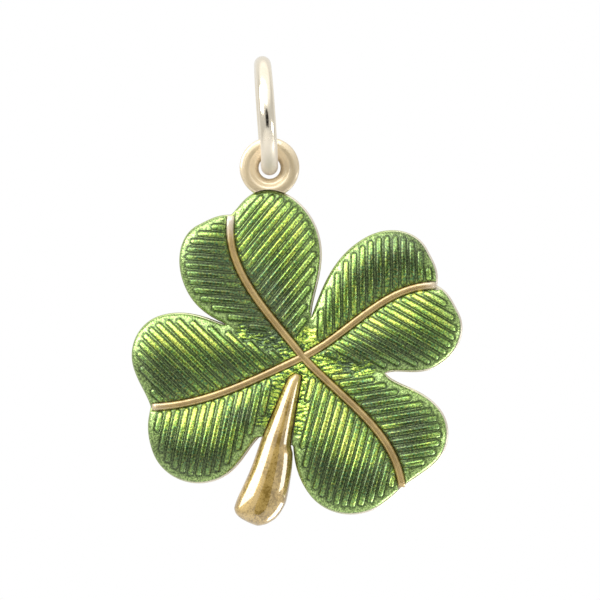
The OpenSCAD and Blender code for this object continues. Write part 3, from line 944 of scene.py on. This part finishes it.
def enamelField(c, nodeName, pieceName, tree, sizes):
    lines = ribLines(c)
    ends = [(*p, 0) for line in lines for p in line]
    lineMesh = bpy.data.meshes.new("ribLines")
    lineMesh.from_pydata(ends, [(2 * i, 2 * i + 1) for i in range(len(lines))], [])
    lineObject = linked("ribLines", lineMesh)
    flat = linked("flatField", fieldSheet(c))
    modifier = flat.modifiers.new("ribs", "NODES")
    modifier.node_group = tree
    for name, value in (("Rib Lines", lineObject), ("Rib Width", enamel["ribWidth"]),
                        ("Rib Height", enamel["ribHeight"]), ("Rib Shoulder", enamel["ribShoulder"]),
                        ("Groove Width", enamel["grooveWidth"]), ("Groove Depth", enamel["grooveDepth"]),
                        ("Stipple Size", enamel["stippleSize"]), ("Stipple Height", enamel["stippleHeight"]),
                        ("Seed", float(enamel["seed"] + c)), ("Enamel", greenEnamel)):
        modifier[sizes[name]] = value
    mesh = evaluatedMesh(flat)
    mesh.name = pieceName
    mesh.transform(standUp)
    mesh.polygons.foreach_set("use_smooth", [True] * len(mesh.polygons))
    for used in (flat, lineObject):
        bpy.data.objects.remove(used)
    obj = linked(pieceName, mesh)
    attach(obj, "clover")
    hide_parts(nodeName)
    print("stage:", pieceName, len(lines), "ribs,", len(mesh.polygons), "faces")


tree, sizes = ribbedTree()
for c, names in enumerate((("enamel_top", "enamelTop"), ("enamel_left", "enamelLeft"),
                           ("enamel_bottom", "enamelBottom"), ("enamel_right", "enamelRight"))):
    enamelField(c, *names, tree, sizes)


# The casting: the leaf plate, the veins, the stem and the bail eye
casting = {
    "step": 0.06,
    "round": 0.09,  # rounding of the plate's edges
    "roundSteps": 4,
    "filmFrom": 0.5,  # green film that has run over the rim, most on the side with the narrow rim
    "veinHeight": 0.3,
    "veinReach": 0.993,
    "veinShoulder": 0.42,  # upright part of the vein's sides, as a share of its height
    "veinFullness": 0.7,
    "veinEnd": 0.25,  # length over which its ends are rounded down
    "veinEndDrop": 0.9,
    "veinEndWidth": 0.8,
    "veinStep": 0.08,
    "veinFacets": 20,
    "crossing": 0.9,  # height of the vein that passes under the other
    "paleTipFrom": (6.4, 7.6),  # distances from the middle between which a vein's tip turns pale
    "paleTipAbove": (-6, 4),  # heights between which that paling sets in, so that the upper tips are palest
    # painted highlight: a pale line along each vein's crest, which is also made matt there
    "crestHighlight": 0.18,
    "crestHighlightDepth": 0.004,  # how far down from its crest the painted highlight reaches
}


def leafPlate():
    loop = resampled(closed(cloverOutline()), casting["step"])[:-1]
    r = casting["round"]
    angles = np.radians(np.linspace(0, 90, casting["roundSteps"]))
    profile = [(r * (1 - math.sin(a)), r * (1 - math.cos(a))) for a in angles]
    rings = profile + [(d, clover["plate"] - z) for d, z in reversed(profile)]
    outward = -pathNormals(loop, True)
    loops = [loop - d * outward for d, z in rings]
    verts = [np.concatenate((lp, np.full((len(lp), 1), z)), 1) for lp, (d, z) in zip(loops, rings)]
    faces = quads(len(rings), len(loop))
    _, capFaces = triangulated(loops[0], [])
    faces += [tuple(f[::-1]) for f in capFaces]
    _, capFaces = triangulated(loops[-1], [])
    faces += [tuple(f + (len(rings) - 1) * len(loop)) for f in capFaces]
    film = np.clip(casting["filmFrom"] - rimLean(outward), 0, 1)
    film = np.concatenate([film * (z > clover["plate"] / 2) for d, z in rings])
    return np.concatenate(verts), faces, film


verts, faces, film = leafPlate()
plate = meshObject("castLeaves", verts, faces)
plate.data.materials.append(leafGold)
setFloat(plate.data, "film", film)


def veinRidge(leaf, height):
    far = leaf + 2
    one = placed(2 * leaf, vein(2 * leaf, casting["veinReach"]))[::-1]
    two = placed(2 * far, vein(2 * far, casting["veinReach"]))[1:]
    path = resampled(np.concatenate((one, two)), casting["veinStep"])
    normal = -pathNormals(path)
    angles = np.radians(np.linspace(0, 180, casting["veinFacets"] + 1))
    w, s = clover["veinWidth"] / 2, casting["veinShoulder"]
    base = clover["plate"]
    drop, narrow = casting["veinEndDrop"], casting["veinEndWidth"]
    steps = np.arange(len(path))
    fromEnd = np.minimum(steps, steps[::-1]) * casting["veinStep"] / casting["veinEnd"]
    rings = []
    for p, n, near in zip(path, normal, np.minimum(fromEnd, 1)):
        high = height * math.sqrt(1 - drop * (1 - near) ** 2)
        wide = w * (narrow + (1 - narrow) * math.sqrt(1 - (1 - near) ** 2))
        across = wide * np.sign(np.cos(angles)) * np.abs(np.cos(angles)) ** casting["veinFullness"]
        section = [(wide, base - clover["sink"])]
        section += [(x, base + high * (s + (1 - s) * math.sin(a))) for x, a in zip(across, angles)]
        section += [(-wide, base - clover["sink"])]
        rings.append(np.array([(*(p + x * n), z) for x, z in section]))
    return loft(rings)


def veinPiece(leaf, name, height):
    verts, faces = veinRidge(leaf, height)
    ridge = meshObject(name, verts, faces)
    ridge.data.materials.append(veinGold)
    tip = np.interp(np.linalg.norm(verts[:, :2], axis=1), casting["paleTipFrom"], (0, 1))
    tip *= np.interp(verts[:, 1], casting["paleTipAbove"], (0, 1))
    top = clover["plate"] + height
    # painted highlight along the vein's crest
    paintedCrestHighlight = casting["crestHighlight"] * np.interp(verts[:, 2], (top - casting["crestHighlightDepth"], top), (0, 1))
    setFloat(ridge.data, "worn", np.maximum(tip, paintedCrestHighlight))
    return ridge


veins = [veinPiece(0, "castVeinAcross", casting["crossing"] * casting["veinHeight"]),
         veinPiece(1, "castVeinLong", casting["veinHeight"])]


def eased(x, column):
    xs, ys = stemTable[:, 0], stemTable[:, column]
    slopes = np.diff(ys) / np.diff(xs)
    before, after = slopes[:-1], slopes[1:]
    same = before * after > 0
    tangents = np.zeros(len(xs))
    tangents[1:-1][same] = (2 * before * after)[same] / (before + after)[same]
    tangents[0], tangents[-1] = slopes[0], slopes[-1]
    i = np.clip(np.searchsorted(xs, x) - 1, 0, len(xs) - 2)
    step = xs[i + 1] - xs[i]
    t = (x - xs[i]) / step
    return (ys[i] * (1 + 2 * t) * (1 - t) ** 2 + ys[i + 1] * t * t * (3 - 2 * t)
            + step * (tangents[i] * t * (1 - t) ** 2 + tangents[i + 1] * t * t * (t - 1)))


def stemBody():
    mid, back = clover["plate"] - stem["widest"], stem["back"]
    rings = []
    for s in np.sin(np.linspace(0, math.pi / 2, stem["rings"])):
        centre = stemStart + s * stem["length"] * stemWay
        widths = stem["width"] * eased(s, 1), stem["width"] * eased(s, 2)
        thick = eased(s, 3)
        ringPoints = []
        for k in range(stem["facets"]):
            a = -2 * math.pi * (k + 0.5) / stem["facets"]
            p = centre + math.cos(a) * widths[1 if math.cos(a) > 0 else 0] * stemAcross
            high = stem["thickness"] - mid if math.sin(a) > 0 else mid - back
            ringPoints.append((p[0], p[1], mid + thick * high * math.sin(a)))
        rings.append(np.array(ringPoints))
    return loft(rings)


verts, faces = stemBody()
stemObject = meshObject("castStem", verts, faces)
stemObject.data.materials.append(stemGold)


def eyeDisc():
    hole, outer, t = eye["hole"] / 2, eye["diameter"] / 2, eye["thickness"] / 2
    r, bevel, crown = eye["round"], eye["bevel"], eye["crown"]
    inner, rim = hole + bevel + eye["chamfer"], outer - r
    bevelSteps, faceSteps, edgeSteps = eye["steps"]
    land = [(hole + bevel * (1 - math.cos(a)), (t - crown - eye["chamfer"]) * math.sin(a))
            for a in np.radians(np.linspace(0, 90, bevelSteps))] + [(inner, t - crown)]
    face = [(inner + (rim - inner) * k / faceSteps, t - crown * (2 * k / faceSteps - 1) ** 2)
            for k in range(1, faceSteps)]
    edge = [(rim + r * math.sin(a), t - crown - r + r * math.cos(a))
            for a in np.radians(np.linspace(0, 90, edgeSteps))]
    half = land + face + edge
    profile = [(x, -z) for x, z in reversed(half[1:])] + half
    turns = [2 * math.pi * i / eye["facets"] for i in range(eye["facets"])]
    verts = [(eyeCentre[0] + x * math.cos(a), eyeCentre[1] + x * math.sin(a), eyeMid + z)
             for a in turns for x, z in profile]
    return verts, quads(eye["facets"], len(profile), True)


def cutByLeaf(obj):
    loop = cloverOutline()
    loop = loop + eye["lip"] * pathNormals(loop, True)
    low = clover["plate"] - eye["lap"]
    heights = (low, low + eye["cutHeight"])
    verts, faces = loft([np.concatenate((loop, np.full((len(loop), 1), z)), 1) for z in heights])
    tool = meshObject("leafCutter", verts, faces)
    cut = obj.modifiers.new("cut", "BOOLEAN")
    cut.operation = "DIFFERENCE"
    cut.solver = "EXACT"
    cut.object = tool
    mesh = evaluatedMesh(obj)
    obj.modifiers.clear()
    obj.data = mesh
    bpy.data.objects.remove(tool)


verts, faces = eyeDisc()
eyeObject = meshObject("castEye", verts, faces)
eyeObject.data.materials.append(eyeGold)
cutByLeaf(eyeObject)
for piece in [plate, stemObject, eyeObject] + veins:
    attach(piece, "clover")
    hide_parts("clover_casting")
print("stage: casting made")


# The jump ring
def ringBody():
    meanRadius = (ring["diameter"] - ring["wire"]) / 2
    major, minor = ring["facets"]
    verts = []
    for i in range(major):
        a = 2 * math.pi * i / major
        for j in range(minor):
            b = 2 * math.pi * j / minor
            d = meanRadius + ring["wire"] / 2 * math.cos(b)
            verts.append((ring["wire"] / 2 * math.sin(b), d * math.cos(a), d * math.sin(a)))
    return verts, quads(major, minor, True)


innerRadius = ring["diameter"] / 2 - ring["wire"]
lean = math.radians(ring["lean"])
ringCentre = Vector((innerRadius * math.sin(lean), 0, -innerRadius * math.cos(lean)))
ringPlace = (Matrix.Scale(mm, 4) @ Matrix.Translation(ringCentre) @ Matrix.Rotation(-lean, 4, "Y")
             @ Matrix.Rotation(math.radians(ring["turn"]), 4, "Z"))
verts, faces = ringBody()
ringObject = meshObject("jumpRing", verts, faces, ringPlace)
ringObject.data.materials.append(ringGold)
setFloat(ringObject.data, "worn", np.interp(np.array(verts)[:, 2], ring["wornBetween"], (1, 0)))
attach(ringObject, "ring")
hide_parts("jump_ring")
print("stage: jump ring made")

# Floor, light and camera
studio = {
    "floorDrop": 0.1,
    "floorRadius": 0.25,
    "floorFacets": 96,
    "floorColour": (0.62, 0.62, 0.62, 1),
    "floorRoughness": 0.9,
    "backdrop": (1, 1, 1, 1),  # what the camera sees behind the pendant
    "cameraBack": 0.15,
    "sensor": 36,
    "clipStart": 0.001,
    "pixelsPerMm": 21.0,
    "photoOrigin": (262.9, 72.3),  # where the frame's origin shows in the photograph
    "photoSize": 600,
    "aimDepth": -0.0004,  # in the middle of the relief
    # place, width and height, radiance
    "softboxes": [
        ((-0.151, -0.08, 0.05), (0.16, 0.1), 4.5),
        ((0.16, -0.058, -0.045), (0.08, 0.03), 4.5),
        ((0.075, 0.02, -0.085), (0.06, 0.06), 5.0),
        ((-0.05, -0.12, 0.12), (0.22, 0.15), 2.4),
    ],
    "tent": 0.75,
    # dark hole in the tent: direction, angles where it is full and where it ends
    "lens": ((0, -0.986, -0.167), 20.5, 21.5),
    # direction, angles where it is full and where it ends, radiance
    "glows": [
        ((0, -0.35, 0.94), 40, 68, 0.65),
        ((0, -0.3, -0.95), 30, 60, -0.4),
        ((0, 1, 0), 45, 85, 0.3),
    ],
}
centreHeight = (studio["photoOrigin"][1] - studio["photoSize"] / 2) / studio["pixelsPerMm"] * mm
centreAcross = (studio["photoSize"] / 2 - studio["photoOrigin"][0]) / studio["pixelsPerMm"] * mm
centre = Vector((centreAcross, studio["aimDepth"], centreHeight))

bm = bmesh.new()
bmesh.ops.create_circle(bm, cap_ends=True, segments=studio["floorFacets"], radius=studio["floorRadius"])
floorMesh = bpy.data.meshes.new("floor")
bm.to_mesh(floorMesh)
bm.free()
floorMesh.transform(Matrix.Translation((0, 0, cadLow.z - studio["floorDrop"])))
floor = linked("floor", floorMesh)
floorPaint, _, floorShader = newMaterial("paleFloor")
floorShader.inputs["Base Color"].default_value = studio["floorColour"]
floorShader.inputs["Roughness"].default_value = studio["floorRoughness"]
floorMesh.materials.append(floorPaint)

for number, (place, size, radiance) in enumerate(studio["softboxes"]):
    lamp = bpy.data.lights.new("softbox%d" % number, "AREA")
    lamp.shape = "RECTANGLE"
    lamp.size, lamp.size_y = size
    lamp.energy = radiance * math.pi * size[0] * size[1]
    box = linked(lamp.name, lamp)
    box.location = place
    box.rotation_mode = "QUATERNION"
    box.rotation_quaternion = (centre - Vector(place)).to_track_quat("-Z", "Y")

world = bpy.data.worlds.new("studio")
bpy.context.scene.world = world
world.use_nodes = True
sky = world.node_tree
sky.nodes.clear()
skyOut = sky.nodes.new("ShaderNodeOutputWorld")
skyWay = sky.nodes.new("ShaderNodeTexCoord")


def lobe(direction, full, end):
    toward = sky.nodes.new("ShaderNodeVectorMath")
    toward.operation = "DOT_PRODUCT"
    toward.inputs[1].default_value = Vector(direction).normalized()
    sky.links.new(skyWay.outputs["Generated"], toward.inputs[0])
    return ranged(sky, toward.outputs["Value"], math.cos(math.radians(end)), math.cos(math.radians(full)))


glow = studio["tent"]
for direction, full, end, radiance in studio["glows"]:
    glow = maths(sky, "ADD", glow, times(sky, lobe(direction, full, end), radiance))
glow = times(sky, glow, maths(sky, "SUBTRACT", 1.0, lobe(*studio["lens"])))
litSky = sky.nodes.new("ShaderNodeBackground")
sky.links.new(glow, litSky.inputs["Strength"])
plainSky = sky.nodes.new("ShaderNodeBackground")
plainSky.inputs[0].default_value = studio["backdrop"]
seen = sky.nodes.new("ShaderNodeLightPath")
skyMix = sky.nodes.new("ShaderNodeMixShader")
sky.links.new(seen.outputs["Is Camera Ray"], skyMix.inputs[0])
sky.links.new(litSky.outputs[0], skyMix.inputs[1])
sky.links.new(plainSky.outputs[0], skyMix.inputs[2])
sky.links.new(skyMix.outputs[0], skyOut.inputs[0])
bpy.context.scene.view_settings.view_transform = "Standard"

camera = linked("camera", bpy.data.cameras.new("camera"))
camera.location = centre + Vector((0, -studio["cameraBack"], 0))
camera.rotation_euler = (math.pi / 2, 0, 0)
camera.data.sensor_width = studio["sensor"]
frameWidth = studio["photoSize"] / studio["pixelsPerMm"] * mm
camera.data.lens = camera.data.sensor_width * studio["cameraBack"] / frameWidth
camera.data.clip_start = studio["clipStart"]
bpy.context.scene.camera = camera
print("stage: studio made")
